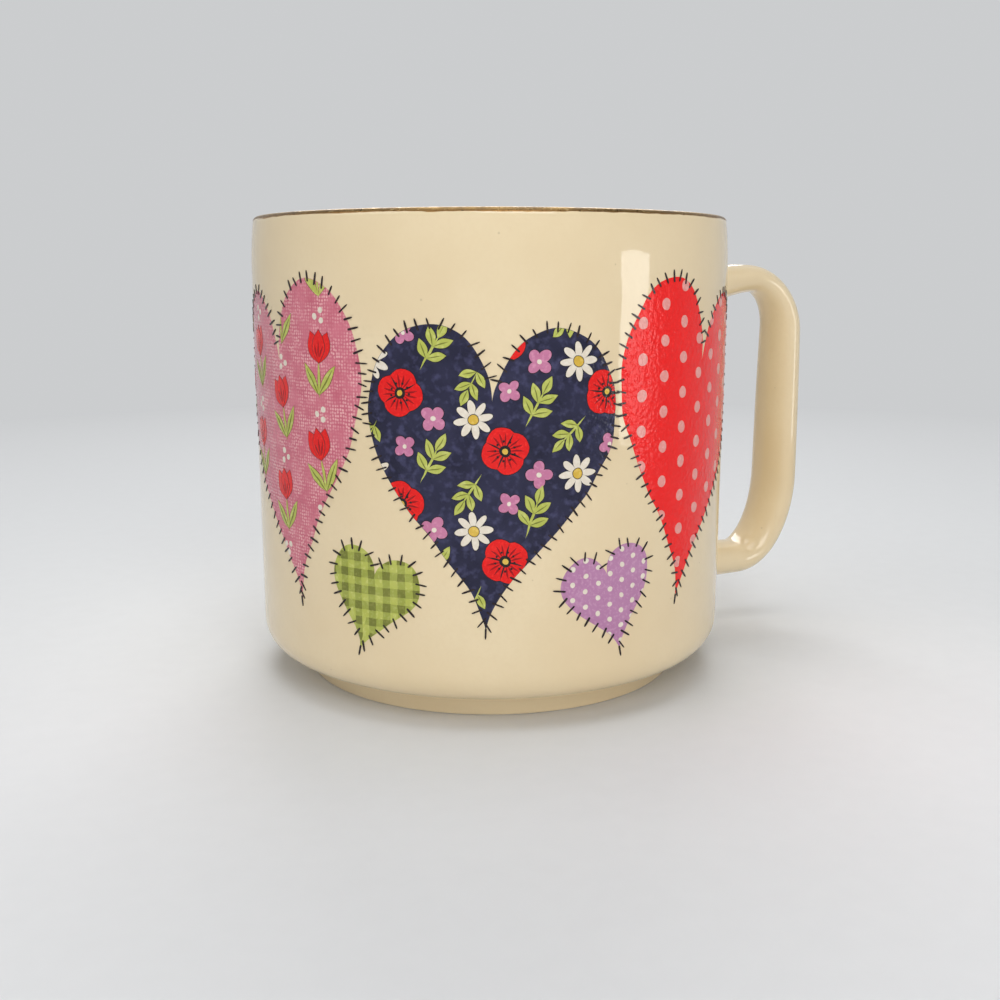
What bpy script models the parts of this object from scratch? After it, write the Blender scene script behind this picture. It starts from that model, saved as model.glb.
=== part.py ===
"""A straight-sided ceramic mug: cast body, ear handle joined with slip, gilded lip, printed heart transfers.

Metres, +Z up. The mug stands on z = 0 with its handle along +X. The origin is the middle of the footprint,
handle included, so the mug's own axis lies a little to the -X side of it.
"""

import math

import bmesh
import bpy
from mathutils import Vector

# Body
HEIGHT = 0.0782
BODY_RADIUS = 0.041
WALL = 0.0040
LIP_WALL = 0.0034
LIP_OUTER_ROUND = (0.0009, 0.0011)
LIP_INNER_DROP = 0.0019
LIP_DRAW = 0.00045
LIP_DRAW_START = 0.0695
FLOOR_TOP = 0.0075
INNER_CORNER = 0.0075

# Lower corner and foot ring
CORNER_TOP = 0.0099
CORNER_BOTTOM = 0.0039
CORNER_INNER_RADIUS = 0.0340
CORNER_SQUARENESS = 2.45
FOOT_RADIUS = 0.0331
FOOT_WIDTH = 0.0042
FOOT_ROUND = 0.00035
RECESS = 0.0024

# Handle, measured on the line through the middle of its section
HANDLE_REACH = 0.0641
HANDLE_TOP = 0.0680
HANDLE_BOTTOM = 0.0123
UPPER_CORNER = (0.0086, 0.0102)
LOWER_CORNER = (0.0100, 0.0172)
HANDLE_THICK = 0.0060
HANDLE_WIDE = 0.0100
UPPER_ROOT_SIZE = 1.50
UPPER_CORNER_SIZE = 0.88
GRIP_TOP_SIZE = 1.02
GRIP_END_SIZE = 1.12
LOWER_CORNER_SIZE = 1.08
LOWER_ROOT_SIZE = 1.30
ROOT_DEPTH = 0.003

# Slip joints, gilding and transfers
SLIP = 0.0006
SLIP_BEAD = 0.0004
GILDING = 0.0002
GILDING_DROP = 0.0012
GILDING_INNER_END = 118.0
FILM = 0.00025
GAP = 0.00015

# Heart transfers: how far their middles stand from the print's middle line, round the wall
FRONT_HEART = (0.038, 0.0455)
SIDE_HEART = (0.037, 0.0500)
SMALL_HEART = (0.0155, 0.0160)
SIDE_SPACING = 0.0370
SMALL_SPACING = 0.0192
FRONT_MIDDLE = 0.0390
SIDE_MIDDLE = 0.0426
SMALL_MIDDLE = 0.0200

# Resolution
FACETS = 72
ARC_STEPS = 5
LIP_STEPS = 4
HEART_POINTS = 44
SWEEP_STEPS = 9
SWEEP_BEVEL = 6
MERGE = 0.00001

# The print's middle line stands on a crease between two facets
PRINT_MIDDLE = math.radians(-115)

SHOULDER_TOP = HEIGHT - GAP - GILDING
LIP_RADIUS = BODY_RADIUS - LIP_DRAW
HANDLE_OUTER = HANDLE_REACH + GRIP_END_SIZE * HANDLE_THICK / 2
AXIS_X = (BODY_RADIUS - HANDLE_OUTER) / 2
CIRCLE_BEZIER = 0.5523

# The heart curve's own units: its height, and how far its box's middle lies below its zero
HEART_UNITS = 29.0
HEART_SINK = 2.5


def clear_scene():
    for item in list(bpy.data.objects):
        bpy.data.objects.remove(item, do_unlink=True)


def new_collection(name):
    made = bpy.data.collections.new(name)
    bpy.context.scene.collection.children.link(made)
    return made


def material(name, colour, roughness, metallic=0.0):
    made = bpy.data.materials.new(name)
    made.use_nodes = True
    shader = made.node_tree.nodes["Principled BSDF"]
    shader.inputs["Base Color"].default_value = (*colour, 1.0)
    shader.inputs["Roughness"].default_value = roughness
    shader.inputs["Metallic"].default_value = metallic
    return made


def place(item, collection, axis, finish=None):
    """Links an object to its collection and hangs it on the mug's axis."""
    collection.objects.link(item)
    item.parent = axis
    if finish:
        item.data.materials.append(finish)
    return item


def place_cutter(item, collection, axis):
    place(item, collection, axis)
    item.hide_render = True
    item.display_type = "WIRE"
    return item


def arc(centre, radii, start, end, steps=ARC_STEPS, squareness=2.0):
    """Points of a (super)ellipse from start to end degrees, 0 pointing outwards and 90 up."""
    points = []
    for step in range(steps + 1):
        angle = math.radians(start + (end - start) * step / steps)
        across = math.copysign(abs(math.cos(angle)) ** (2 / squareness), math.cos(angle))
        along = math.copysign(abs(math.sin(angle)) ** (2 / squareness), math.sin(angle))
        points.append((centre[0] + radii[0] * across, centre[1] + radii[1] * along))
    return points


def lip(grow, inner_end=180.0):
    """The lip's section from inside to outside, pushed out by grow."""
    wide, drop = LIP_OUTER_ROUND
    crest = LIP_RADIUS - wide
    inner = LIP_WALL - wide
    inner_middle = (crest, SHOULDER_TOP - LIP_INNER_DROP)
    inside = arc(inner_middle, (inner + grow, LIP_INNER_DROP + grow), inner_end, 90, LIP_STEPS)
    outside = arc((crest, SHOULDER_TOP - drop), (wide + grow, drop + grow), 90, 0, LIP_STEPS)
    return inside + outside[1:]


def drawn_in():
    """The wall's outer side where it draws in towards the lip, from the lip down to the straight wall."""
    top = SHOULDER_TOP - LIP_OUTER_ROUND[1]
    points = []
    for step in range(1, LIP_STEPS + 1):
        down = step / LIP_STEPS
        points.append((BODY_RADIUS - LIP_DRAW * (1 - down) ** 2, top + (LIP_DRAW_START - top) * down))
    return points


def revolve(name, profile, closed=False):
    """Turns a section round the mug's axis. Its outer side runs from top to bottom."""
    count = len(profile)
    edges = [(step, step + 1) for step in range(count - 1)]
    if closed:
        edges.append((count - 1, 0))
    mesh = bpy.data.meshes.new(name)
    mesh.from_pydata([(radius, 0.0, height) for radius, height in profile], edges, [])
    turned = bpy.data.objects.new(name, mesh)
    screw = turned.modifiers.new("Screw", "SCREW")
    screw.steps = FACETS
    screw.render_steps = FACETS
    screw.use_merge_vertices = True
    screw.merge_threshold = MERGE
    return turned


def mug_body():
    inside = BODY_RADIUS - WALL
    inner_corner = arc(
        (inside - INNER_CORNER, FLOOR_TOP + INNER_CORNER), (INNER_CORNER, INNER_CORNER), -90, 0
    )
    lower_corner = arc(
        (CORNER_INNER_RADIUS, CORNER_TOP),
        (BODY_RADIUS - CORNER_INNER_RADIUS, CORNER_TOP - CORNER_BOTTOM),
        0,
        -90,
        squareness=CORNER_SQUARENESS,
    )
    foot_inside = FOOT_RADIUS - FOOT_WIDTH
    foot_round = (FOOT_ROUND, FOOT_ROUND)
    foot_outer_edge = arc((FOOT_RADIUS - FOOT_ROUND, FOOT_ROUND), foot_round, 0, -90)
    foot_inner_edge = arc((foot_inside + FOOT_ROUND, FOOT_ROUND), foot_round, -90, -180)
    profile = [(0.0, FLOOR_TOP)]
    profile += inner_corner
    profile += lip(0.0)
    profile += drawn_in()
    profile += lower_corner
    profile += [(FOOT_RADIUS, CORNER_BOTTOM)]
    profile += foot_outer_edge
    profile += foot_inner_edge
    profile += [(foot_inside, RECESS), (0.0, RECESS)]
    return revolve("mug_body", profile)


def rim_gilding():
    outer = lip(GAP + GILDING, GILDING_INNER_END)
    inner = lip(GAP, GILDING_INNER_END)
    drop = SHOULDER_TOP - GILDING_DROP
    outer_edge = (LIP_RADIUS + GAP + GILDING, drop)
    inner_edge = (LIP_RADIUS + GAP, drop)
    return revolve("rim_gilding", outer + [outer_edge, inner_edge] + inner[::-1], closed=True)


def handle_knots():
    """Bezier knots of the handle's middle line: (point, handle before, handle after, size)."""
    root = BODY_RADIUS - ROOT_DEPTH
    upper_r, upper_z = UPPER_CORNER
    lower_r, lower_z = LOWER_CORNER
    upper_arm = (HANDLE_REACH - upper_r - root) / 3
    lower_arm = (HANDLE_REACH - lower_r - root) / 3
    shoulder = Vector((HANDLE_REACH - upper_r, 0, HANDLE_TOP))
    grip_top = Vector((HANDLE_REACH, 0, HANDLE_TOP - upper_z))
    grip_end = Vector((HANDLE_REACH, 0, HANDLE_BOTTOM + lower_z))
    heel = Vector((HANDLE_REACH - lower_r, 0, HANDLE_BOTTOM))
    upper_drop = (UPPER_ROOT_SIZE - UPPER_CORNER_SIZE) * HANDLE_THICK / 2
    lower_rise = (LOWER_ROOT_SIZE - LOWER_CORNER_SIZE) * HANDLE_THICK / 2
    top_root = Vector((root, 0, HANDLE_TOP - upper_drop))
    low_root = Vector((root, 0, HANDLE_BOTTOM + lower_rise))
    out = Vector((1, 0, 0))
    up = Vector((0, 0, 1))
    third = (grip_end - grip_top) / 3
    bend = CIRCLE_BEZIER
    return [
        (top_root, top_root - out * upper_arm, top_root + out * upper_arm, UPPER_ROOT_SIZE),
        (shoulder, shoulder - out * upper_arm, shoulder + out * upper_r * bend, UPPER_CORNER_SIZE),
        (grip_top, grip_top + up * upper_z * bend, grip_top + third, GRIP_TOP_SIZE),
        (grip_end, grip_end - third, grip_end - up * lower_z * bend, GRIP_END_SIZE),
        (heel, heel + out * lower_r * bend, heel - out * lower_arm, LOWER_CORNER_SIZE),
        (low_root, low_root + out * lower_arm, low_root - out * lower_arm, LOWER_ROOT_SIZE),
    ]


def handle_sweep(name, grow):
    """The handle's oval section swept along its middle line, as a closed mesh that runs into the wall."""
    curve = bpy.data.curves.new(name, "CURVE")
    curve.dimensions = "3D"
    curve.bevel_depth = HANDLE_THICK / 2 + grow
    curve.bevel_resolution = SWEEP_BEVEL
    curve.resolution_u = SWEEP_STEPS
    curve.use_fill_caps = True
    spline = curve.splines.new("BEZIER")
    spline.radius_interpolation = "CARDINAL"
    knots = handle_knots()
    spline.bezier_points.add(len(knots) - 1)
    for knot, (point, before, after, size) in zip(spline.bezier_points, knots):
        knot.handle_left_type = "FREE"
        knot.handle_right_type = "FREE"
        knot.co = point
        knot.handle_left = before
        knot.handle_right = after
        knot.radius = size
    guide = bpy.data.objects.new(name + "_line", curve)
    guide.scale.y = HANDLE_WIDE / HANDLE_THICK
    return curve_to_mesh(guide, name)


def curve_to_mesh(guide, name):
    """Swaps a curve object for a mesh object of the same shape, with its caps welded on."""
    bpy.context.scene.collection.objects.link(guide)
    bpy.context.view_layer.update()
    evaluated = guide.evaluated_get(bpy.context.evaluated_depsgraph_get())
    mesh = bpy.data.meshes.new_from_object(evaluated)
    mesh.name = name
    mesh.transform(guide.matrix_world)
    shape = bmesh.new()
    shape.from_mesh(mesh)
    bmesh.ops.remove_doubles(shape, verts=shape.verts, dist=MERGE)
    bmesh.ops.recalc_face_normals(shape, faces=shape.faces)
    if shape.calc_volume(signed=True) < 0:
        bmesh.ops.reverse_faces(shape, faces=shape.faces)
    shape.to_mesh(mesh)
    shape.free()
    mesh.shade_smooth()
    bpy.data.objects.remove(guide, do_unlink=True)
    return bpy.data.objects.new(name, mesh)


def cut(item, cutter, operation):
    step = item.modifiers.new(cutter.name, "BOOLEAN")
    step.operation = operation
    step.object = cutter


def handle_seat():
    """A core the size of the wall and its slip, which copes the handle's two ends to the wall."""
    seat = BODY_RADIUS + GAP + SLIP + GAP
    return revolve("handle_seat", [(0.0, HEIGHT), (seat, HEIGHT), (seat, 0.0), (0.0, 0.0)])


def slip_mould(name, low, high):
    """A thin sleeve round the wall, where a slip joint lies."""
    inner = BODY_RADIUS + GAP
    outer = inner + SLIP
    return revolve(name, [(inner, high), (outer, high), (outer, low), (inner, low)], closed=True)


def heart_outline(size, tilt):
    """Points round a heart of the given width and height, turned by tilt degrees."""
    width, height = size
    turn = math.radians(tilt)
    points = []
    for step in range(HEART_POINTS):
        angle = 2 * math.pi * step / HEART_POINTS
        across = math.sin(angle) ** 3
        up = (
            13 * math.cos(angle) - 5 * math.cos(2 * angle) - 2 * math.cos(3 * angle) - math.cos(4 * angle)
        )
        x = width / 2 * across
        y = height * (up + HEART_SINK) / HEART_UNITS
        points.append((x * math.cos(turn) - y * math.sin(turn), x * math.sin(turn) + y * math.cos(turn)))
    return points


def flat_film(name, outline, along, height):
    """A flat film of the given outline, along and height from the print's middle line and the foot."""
    curve = bpy.data.curves.new(name, "CURVE")
    curve.dimensions = "2D"
    curve.fill_mode = "BOTH"
    curve.extrude = FILM / 2
    spline = curve.splines.new("POLY")
    spline.points.add(len(outline) - 1)
    for point, (x, y) in zip(spline.points, outline):
        point.co = (along + x, height + y, 0.0, 1.0)
    spline.use_cyclic_u = True
    return curve_to_mesh(bpy.data.objects.new(name + "_flat", curve), name)


def wrap(film):
    """Creases a flat film at the wall's facets and bends it round the wall."""
    shape = bmesh.new()
    shape.from_mesh(film.data)
    across = Vector((1, 0, 0))
    for facet in range(-FACETS // 2, FACETS // 2):
        everything = shape.verts[:] + shape.edges[:] + shape.faces[:]
        crease = Vector((BODY_RADIUS * 2 * math.pi * facet / FACETS, 0, 0))
        bmesh.ops.bisect_plane(shape, geom=everything, plane_co=crease, plane_no=across, dist=MERGE)
    middle = BODY_RADIUS + GAP + FILM / 2
    for vert in shape.verts:
        angle = PRINT_MIDDLE + vert.co.x / BODY_RADIUS
        radius = middle + vert.co.z
        vert.co = (radius * math.cos(angle), radius * math.sin(angle), vert.co.y)
    shape.to_mesh(film.data)
    shape.free()


def transfer(name, size, tilt, along, height):
    film = flat_film(name, heart_outline(size, tilt), along, height)
    wrap(film)
    return film


def build():
    clear_scene()
    parts = new_collection("ceramic_mug")
    cutters = new_collection("cutters")
    axis = bpy.data.objects.new("mug_axis", None)
    parts.objects.link(axis)
    axis.location = (AXIS_X, 0.0, 0.0)

    place(mug_body(), parts, axis, material("body_glaze", (0.80, 0.74, 0.64), 0.12))
    place(rim_gilding(), parts, axis, material("fired_gold", (0.55, 0.36, 0.13), 0.28, 1.0))

    seat = place_cutter(handle_seat(), cutters, axis)
    glaze = material("handle_glaze", (0.79, 0.73, 0.63), 0.14)
    handle = place(handle_sweep("handle", 0.0), parts, axis, glaze)
    cut(handle, seat, "DIFFERENCE")

    middle = (HANDLE_TOP + HANDLE_BOTTOM) / 2
    for name, low, high in (
        ("handle_slip_upper", middle, HEIGHT),
        ("handle_slip_lower", 0.0, middle),
    ):
        mould = place_cutter(slip_mould(name + "_mould", low, high), cutters, axis)
        pad = place(handle_sweep(name, SLIP_BEAD), parts, axis, material(name, (0.78, 0.72, 0.62), 0.20))
        cut(pad, mould, "INTERSECT")

    rows = (
        ("transfer_rose_heart", (0.76, 0.33, 0.40), SIDE_HEART, 7, -SIDE_SPACING, SIDE_MIDDLE),
        ("transfer_navy_heart", (0.025, 0.03, 0.11), FRONT_HEART, -2, 0.0, FRONT_MIDDLE),
        ("transfer_red_heart", (0.50, 0.022, 0.028), SIDE_HEART, -9, SIDE_SPACING, SIDE_MIDDLE),
        ("transfer_lime_heart", (0.45, 0.55, 0.12), SMALL_HEART, -14, -SMALL_SPACING, SMALL_MIDDLE),
        ("transfer_lilac_heart", (0.56, 0.34, 0.52), SMALL_HEART, 12, SMALL_SPACING, SMALL_MIDDLE),
    )
    for name, colour, size, tilt, along, height in rows:
        ink = material(name, colour, 0.25)
        place(transfer(name, size, tilt, along, height), parts, axis, ink)


build()
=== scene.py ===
"""The looks of the ceramic mug: a glazed casting, a worn gilt lip and heart transfers printed like patchwork.

Metres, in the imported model's frame: the mug stands on z = 0 with its handle along +X, and its own axis lies a
little to the -X side of the origin. Flat artwork is drawn with complex numbers: the real part runs round the
wall to the right, and the imaginary part runs up. It is then wrapped round the wall.
"""

import cmath
import math
import random

import bmesh
import bpy
from mathutils import Matrix, Vector, noise


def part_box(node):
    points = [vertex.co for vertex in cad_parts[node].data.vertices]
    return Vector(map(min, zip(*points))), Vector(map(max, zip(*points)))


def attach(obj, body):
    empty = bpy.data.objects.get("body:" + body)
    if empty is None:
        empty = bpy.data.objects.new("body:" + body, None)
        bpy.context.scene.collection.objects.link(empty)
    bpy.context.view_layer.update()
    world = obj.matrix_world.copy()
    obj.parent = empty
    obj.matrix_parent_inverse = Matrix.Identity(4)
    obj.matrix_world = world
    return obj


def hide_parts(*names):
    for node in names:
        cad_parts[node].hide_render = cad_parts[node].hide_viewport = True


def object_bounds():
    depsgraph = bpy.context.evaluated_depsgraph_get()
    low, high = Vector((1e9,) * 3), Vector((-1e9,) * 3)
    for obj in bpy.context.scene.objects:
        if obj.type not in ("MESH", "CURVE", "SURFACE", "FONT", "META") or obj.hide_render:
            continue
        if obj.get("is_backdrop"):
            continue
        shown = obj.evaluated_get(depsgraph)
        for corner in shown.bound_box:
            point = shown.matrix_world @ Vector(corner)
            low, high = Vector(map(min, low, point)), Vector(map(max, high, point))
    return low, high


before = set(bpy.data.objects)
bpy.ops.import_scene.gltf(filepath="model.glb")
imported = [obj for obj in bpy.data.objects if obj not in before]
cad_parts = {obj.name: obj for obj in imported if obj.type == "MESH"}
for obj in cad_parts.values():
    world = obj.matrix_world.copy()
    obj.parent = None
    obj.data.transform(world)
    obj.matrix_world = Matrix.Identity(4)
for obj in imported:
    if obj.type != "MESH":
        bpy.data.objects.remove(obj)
CAD_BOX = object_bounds()

# Read from the frame
BODY_LOW, BODY_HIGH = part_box("mug_body")
BODY_RADIUS = (BODY_HIGH.y - BODY_LOW.y) / 2
AXIS_X = (BODY_HIGH.x + BODY_LOW.x) / 2
HEIGHT = CAD_BOX[1][2]

# Body, foot and handle, with the values of the part's source
WALL = 0.0040
LIP_WALL = 0.0034
LIP_OUTER_ROUND = (0.0009, 0.0011)
LIP_INNER_DROP = 0.0019
LIP_DRAW = 0.00045
LIP_DRAW_START = 0.0695
LIP_RADIUS = BODY_RADIUS - LIP_DRAW
FLOOR_TOP = 0.0075
INNER_CORNER = 0.0075
CORNER_TOP = 0.0099
CORNER_BOTTOM = 0.0039
CORNER_INNER_RADIUS = 0.0340
CORNER_SQUARENESS = 2.45
FOOT_RADIUS = 0.0331
FOOT_WIDTH = 0.0042
FOOT_ROUND = 0.00035
RECESS = 0.0024
HANDLE_REACH = 0.0641
HANDLE_TOP = 0.0680
HANDLE_BOTTOM = 0.0123
UPPER_CORNER = (0.0086, 0.0102)
LOWER_CORNER = (0.0100, 0.0172)
HANDLE_THICK = 0.0060
HANDLE_WIDE = 0.0100
UPPER_ROOT_SIZE = 1.50
UPPER_CORNER_SIZE = 0.88
GRIP_TOP_SIZE = 1.02
GRIP_END_SIZE = 1.12
LOWER_CORNER_SIZE = 1.08
LOWER_ROOT_SIZE = 1.30
ROOT_DEPTH = 0.003
CIRCLE_BEZIER = 0.5523
CARDINAL_TENSION = 0.71

# Slip fillets and gilding
FILLET = 0.0012
FILLET_SINK = 0.0004
FILLET_ROUNDS = 4
GOLD = 0.00002
GOLD_INNER_END = 115.0
GOLD_OUTER_END = 26.0
GOLD_WANDER = 9.0
GOLD_WAVES = ((6, 1.0), (24, 0.7))
LIP_TOP = HEIGHT - GOLD
GOLD_FOOT = LIP_TOP - LIP_OUTER_ROUND[1] * (1 - math.sin(math.radians(GOLD_OUTER_END)))
AMBER_EDGE = (GOLD_FOOT - 0.00015, GOLD_FOOT + 0.0003)
# Heights over which the gold's outer side is painted darker as shade, up to just under the crest
SIDE_SHADE_SPAN = (GOLD_FOOT + 0.0001, LIP_TOP - 0.0001)

# Heart transfers, with the values of the part's source
PRINT_MIDDLE = math.radians(-115)
FRONT_HEART = (0.038, 0.0455)
SIDE_HEART = (0.037, 0.0500)
SMALL_HEART = (0.0155, 0.0160)
SIDE_SPACING = 0.0370
SMALL_SPACING = 0.0192
FRONT_MIDDLE = 0.0390
SIDE_MIDDLE = 0.0426
SMALL_MIDDLE = 0.0200
HEART_WAVES = (13, -5, -2, -1)
HEART_UNITS = 29.0
HEART_SINK = 2.5

# Ink films: each layer's top stands one step higher, and all are rooted just inside the glaze
LAYER = 0.000016
INK_SINK = 0.00001
GROUND, LINE, FILL, LINE_OVER, FILL_OVER, DETAIL, STITCH = range(1, 8)
PATCH_STEP = 0.0011
LINE_WIDTH = 0.00011
PRINT_MARGIN = 0.00006
SMALLEST_SHARE = 0.18
DRAWN_SIZE = 0.0016
DRAWN_SWAY = 0.00014
CUT_SIZE = 0.0060
CUT_SWAY = 0.00045
FACE_ON = 0.7

# Prints: cells of their repeats, and plain figures
MEADOW_CELL = (0.0155, 0.0165)
MEADOW_SHIFT = complex(0.002, -0.0006)
TULIP_CELL = (0.0098, 0.0148)
POLKA_CELL = (0.0046, 0.0054)
POLKA_RADIUS = 0.00092
PIN_DOT_CELL = (0.0021, 0.0024)
PIN_DOT_RADIUS = 0.00042
GINGHAM_PITCH = 0.0025

# Blanket stitches
STITCH_PITCH = 0.00165
STITCH_INSIDE = 0.0006
STITCH_OUTSIDE = 0.0011
STITCH_WIDTH = 0.00030
STITCH_LEAN = 0.30
STITCH_FAN = 0.0042
STITCH_FAN_PULL = 1.5
STITCH_CLEAR = 0.6 * STITCH_PITCH
STITCH_SAMPLES = 20
STITCH_AIM = 3
UNEVEN_PITCH = (-0.12, 0.12)
UNEVEN_ROOT = (0.8, 1.3)
UNEVEN_TIP = (0.8, 1.2)
UNEVEN_WIDTH = (0.8, 1.15)
BAR_PROFILE = ((0.0, 0.5), (0.1, 1.0), (0.8, 0.9), (1.0, 0.4))

# Resolution
ROUND_STEPS = 288
ARC_STEPS = 24
SECTION_STEPS = 56
SEGMENT_STEPS = 30
FILLET_STEPS = 8
FLOOR_STEPS = 6
INNER_WALL_STEPS = 12
OUTER_WALL_STEPS = 24
FOOT_STEPS = 6
STAGE_STEPS = 12
HEART_POINTS = 220

# Camera, measured from the mug's axis in the photograph's frame of 1000 pixels
FRAME_PIXELS = 1000
FOCAL_PIXELS = 1158
SENSOR = 36.0
CAMERA_DISTANCE = 0.2072
CAMERA_HEIGHT = 0.0690
CAMERA_PITCH = math.radians(11.08)
CAMERA_YAW = math.radians(0.48)
CAMERA_NEAR = 0.01
PHOTO_FRAME = Matrix.Translation((AXIS_X, 0, 0)) @ Matrix.Rotation(PRINT_MIDDLE + math.pi / 2, 4, "Z")

# Softboxes: name, degrees right of the camera, degrees up, distance, size, strength, height aimed at
KEY = ("key_softbox", 12, 34, 0.5, (0.28, 0.23), 3.3, 0.04)
LOW = ("low_softbox", 14, 7, 0.6, (0.5, 0.12), 4.6, 0.02)
FILL_LIGHT = ("fill_softbox", -62, 37, 1.0, (0.6, 0.6), 1.4, 0.04)
BACK = ("back_softbox", 180, 35, 1.0, (0.6, 0.6), 4.0, 0.04)
TOP = ("top_softbox", 0, 89, 1.0, (0.8, 0.8), 2.1, 0.04)
WINDOW = ("window_softbox", 64.7, 0.5, 0.30, (0.078, 0.092), 4.1, 0.047)
WORLD_COLOUR = (0.98, 0.99, 1.0)
WORLD_STRENGTH = 0.16

# Stage: a floor that bends up into a wall
STAGE_FLOOR = (0.02, 0.3, 1.2)
STAGE_BEND = 0.8
STAGE_WALL = 2.2
STAGE_FADE = (0.08, 0.42)
STAGE_GRAIN = 0.985

# Colours
CREAM = (0.82, 0.675, 0.440)
CREAM_DEEP = (0.78, 0.625, 0.390)
CREAM_SPECK = (0.52, 0.40, 0.24)
BISQUE = (0.74, 0.66, 0.54)
BISQUE_DEEP = (0.58, 0.50, 0.39)
GOLD_BRIGHT = (0.40, 0.255, 0.095)
GOLD_RUBBED = (0.19, 0.117, 0.048)
# Painted shade on the gold's outer side
GOLD_SIDE_SHADE = (0.12, 0.072, 0.032)
GOLD_FLECK = (0.72, 0.56, 0.28)
GOLD_AMBER = (0.46, 0.25, 0.085)
STAGE_COLOUR = (0.78, 0.79, 0.80)
STAGE_GLOW = (0.60, 0.61, 0.62)


# Materials


class Finish:
    """A procedural material in the making, laid out in the piece's own metres."""

    def __init__(self, name, **plain):
        self.material = bpy.data.materials.new(name)
        self.material.use_nodes = True
        self.tree = self.material.node_tree
        self.shader = self.tree.nodes["Principled BSDF"]
        for socket, value in plain.items():
            self.shader.inputs[socket.replace("_", " ")].default_value = value
        self.place = self.add("ShaderNodeTexCoord").outputs["Object"]

    def add(self, kind):
        return self.tree.nodes.new(kind)

    def join(self, source, target):
        self.tree.links.new(source, target)

    def stretched(self, stretch):
        """The piece's coordinates, drawn out along some of its axes."""
        mapping = self.add("ShaderNodeMapping")
        mapping.inputs["Scale"].default_value = [1 / amount for amount in stretch]
        self.join(self.place, mapping.inputs["Vector"])
        return mapping.outputs["Vector"]

    def noise(self, size, detail=2.0, stretch=None):
        """Cloudy noise with features of about the given size."""
        made = self.add("ShaderNodeTexNoise")
        made.inputs["Scale"].default_value = 1 / size
        made.inputs["Detail"].default_value = detail
        self.join(self.stretched(stretch) if stretch else self.place, made.inputs["Vector"])
        return made.outputs["Fac"]

    def cells(self, size, spread=1.0):
        """Distance from the middles of scattered cells, in cell sizes."""
        made = self.add("ShaderNodeTexVoronoi")
        made.inputs["Scale"].default_value = 1 / size
        made.inputs["Randomness"].default_value = spread
        self.join(self.place, made.inputs["Vector"])
        return made.outputs["Distance"]

    def level(self, factor, start, end, low=0.0, high=1.0, clamp=True):
        """Maps a factor's stretch from start to end onto low to high."""
        made = self.add("ShaderNodeMapRange")
        made.clamp = clamp
        for socket, value in zip(made.inputs[1:5], (start, end, low, high)):
            socket.default_value = value
        self.join(factor, made.inputs["Value"])
        return made.outputs["Result"]

    def height(self):
        """The height above the table."""
        split = self.add("ShaderNodeSeparateXYZ")
        self.join(self.place, split.inputs["Vector"])
        return split.outputs["Z"]

    def wall(self):
        """Coordinates laid flat on the wall: the way round it, and the height."""
        split = self.add("ShaderNodeSeparateXYZ")
        self.join(self.place, split.inputs["Vector"])
        shift = self.add("ShaderNodeMath")
        shift.operation = "SUBTRACT"
        shift.inputs[1].default_value = AXIS_X
        self.join(split.outputs["X"], shift.inputs[0])
        turn = self.add("ShaderNodeMath")
        turn.operation = "ARCTAN2"
        self.join(split.outputs["Y"], turn.inputs[0])
        self.join(shift.outputs["Value"], turn.inputs[1])
        round_wall = self.level(turn.outputs["Value"], -1.0, 1.0, -BODY_RADIUS, BODY_RADIUS, clamp=False)
        flat = self.add("ShaderNodeCombineXYZ")
        self.join(round_wall, flat.inputs["X"])
        self.join(split.outputs["Z"], flat.inputs["Y"])
        return flat.outputs["Vector"]

    def weave(self, pitch, evenness=0.35):
        """Distance from the middles of threads that lie in loose rows on the wall."""
        made = self.add("ShaderNodeTexVoronoi")
        made.voronoi_dimensions = "2D"
        made.inputs["Scale"].default_value = 1 / pitch
        made.inputs["Randomness"].default_value = evenness
        self.join(self.wall(), made.inputs["Vector"])
        return made.outputs["Distance"]

    def distance(self):
        """The distance from the middle of the footprint."""
        made = self.add("ShaderNodeVectorMath")
        made.operation = "LENGTH"
        self.join(self.place, made.inputs[0])
        return made.outputs["Value"]

    def highest(self, factors):
        """The highest of some factors."""
        first = factors[0]
        for factor in factors[1:]:
            made = self.add("ShaderNodeMath")
            made.operation = "MAXIMUM"
            self.join(first, made.inputs[0])
            self.join(factor, made.inputs[1])
            first = made.outputs["Value"]
        return first

    def times(self, one, other):
        made = self.add("ShaderNodeMath")
        made.operation = "MULTIPLY"
        self.join(one, made.inputs[0])
        self.join(other, made.inputs[1])
        return made.outputs["Value"]

    def blend(self, factor, low, high):
        """Mixes two colours, each a colour or a socket."""
        made = self.add("ShaderNodeMix")
        made.data_type = "RGBA"
        self.join(factor, made.inputs["Factor"])
        for socket, value in ((made.inputs[6], low), (made.inputs[7], high)):
            if isinstance(value, tuple):
                socket.default_value = (*value, 1.0)
            else:
                self.join(value, socket)
        return made.outputs[2]

    def colour(self, socket):
        self.join(socket, self.shader.inputs["Base Color"])

    def drive(self, name, socket):
        self.join(socket, self.shader.inputs[name])

    def relief(self, height, depth):
        """Adds relief of the given depth, over any that is there already."""
        bump = self.add("ShaderNodeBump")
        bump.inputs["Distance"].default_value = depth
        self.join(height, bump.inputs["Height"])
        normal = self.shader.inputs["Normal"]
        if normal.is_linked:
            self.join(normal.links[0].from_socket, bump.inputs["Normal"])
        self.join(bump.outputs["Normal"], normal)


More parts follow.
